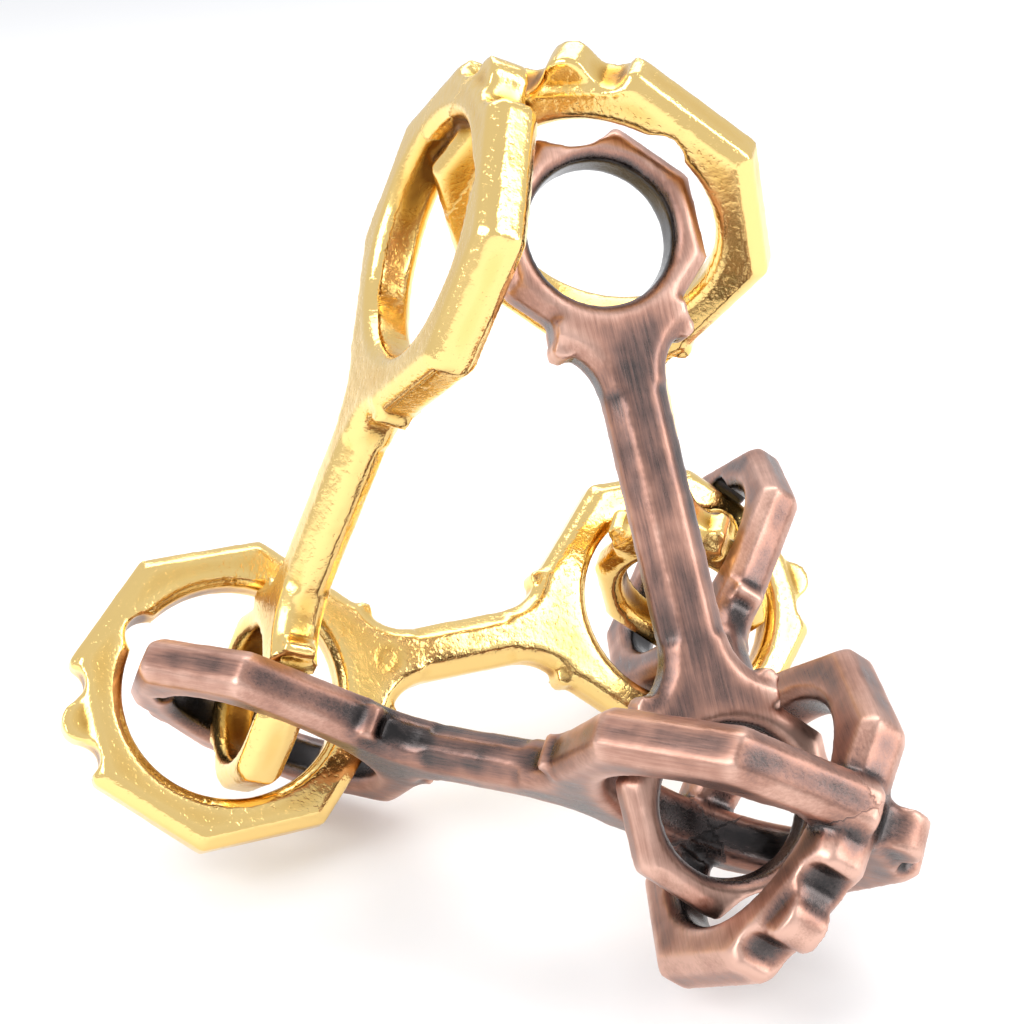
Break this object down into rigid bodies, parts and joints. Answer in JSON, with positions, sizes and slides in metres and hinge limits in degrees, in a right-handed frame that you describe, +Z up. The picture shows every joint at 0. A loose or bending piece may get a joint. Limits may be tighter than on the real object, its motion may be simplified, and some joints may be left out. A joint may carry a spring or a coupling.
{
  "type": "metal ring disentanglement puzzle",
  "caption": "Pocket disentanglement puzzle: interlocked cast metal pieces, each made of octagonal rings on bars, in gold and antique copper, forming an open pyramid-like cage.",
  "frame": {"origin": "under the middle of the cage, on the plane that its three lowest ring corners rest on", "axes": "+Z up; +X to the right and -Y toward the viewer of the copper bar's face"},
  "size_m": [0.0664, 0.0702, 0.065],
  "materials": {
    "gold": "polished gold plating",
    "copper": "brushed antique copper plating with dark patina"
  },
  "bodies": {
    "copper_v": {"copper_v": "copper"},
    "gold_bar": {"gold_bar": "gold"},
    "gold_v": {"gold_v": "gold"},
    "copper_bar": {"copper_bar": "copper"}
  },
  "joints": [
    {"name": "gold_bar_roll", "type": "hinge", "parent": "copper_v", "child": "gold_bar", "pos_m": [0, 0.0105, 0.01244], "axis": [0.9313, 0.3575, -0.0698], "range_deg": [-5, 2]},
    {"name": "gold_v_shift", "type": "slide", "parent": "copper_v", "child": "gold_v", "axis": [0, 1, 0], "range_m": [-0.0002, 0.0002]},
    {"name": "copper_bar_roll", "type": "hinge", "parent": "copper_v", "child": "copper_bar", "pos_m": [0.01625, -0.01125, 0.03245], "axis": [0.1294, -0.4513, -0.8829], "range_deg": [-16, 8]}
  ]
}
